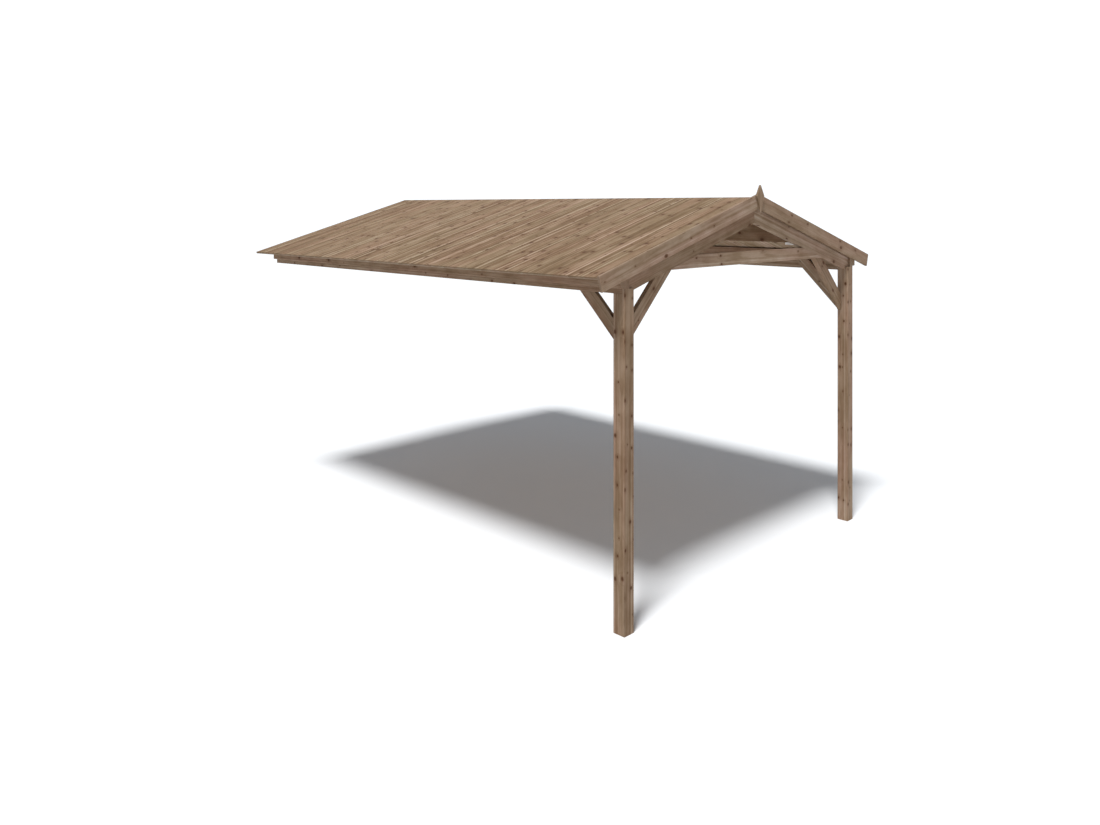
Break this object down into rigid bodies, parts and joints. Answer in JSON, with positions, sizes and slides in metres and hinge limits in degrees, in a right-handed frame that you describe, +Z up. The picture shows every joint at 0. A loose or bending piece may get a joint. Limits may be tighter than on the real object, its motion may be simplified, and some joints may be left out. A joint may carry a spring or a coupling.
{
  "type": "attached patio cover",
  "caption": "Gabled timber patio cover on front posts with knee braces and a boarded roof, held to a house wall at its back.",
  "frame": {"origin": "centre of the wall tie's back face, in the wall plane, 2.224 m above the ground", "axes": "+X to the right across the gable seen from the front, +Y from the open gable towards the wall, +Z up"},
  "size_m": [3.395, 4.289, 2.7385],
  "materials": {
    "posts": "planed, oiled",
    "frame_timber": "planed, oiled",
    "roof_boards": "planed, oiled",
    "trim_boards": "planed, oiled",
    "galvanised_steel": "galvanised"
  },
  "bodies": {
    "root": {"post_left": "posts", "post_right": "posts", "side_beam_left": "frame_timber", "side_beam_right": "frame_timber", "eave_rail_left": "frame_timber", "eave_rail_right": "frame_timber", "front_rafter_left": "frame_timber", "front_rafter_right": "frame_timber", "wall_rafter_left": "frame_timber", "wall_rafter_right": "frame_timber", "gable_brace_left": "frame_timber", "gable_brace_right": "frame_timber", "eave_brace_left": "frame_timber", "eave_brace_right": "frame_timber", "roof_boards_left": "roof_boards", "roof_boards_right": "roof_boards", "barge_board_left": "trim_boards", "barge_board_right": "trim_boards", "purlin_left": "frame_timber", "purlin_right": "frame_timber", "front_bracket_left": "galvanised_steel", "front_bracket_right": "galvanised_steel", "wall_bracket_left": "galvanised_steel", "wall_bracket_right": "galvanised_steel", "front_tie": "frame_timber", "wall_tie": "frame_timber", "finial": "trim_boards", "ridge_purlin": "frame_timber", "front_ridge_bracket": "galvanised_steel", "wall_ridge_bracket": "galvanised_steel"}
  },
  "joints": []
}
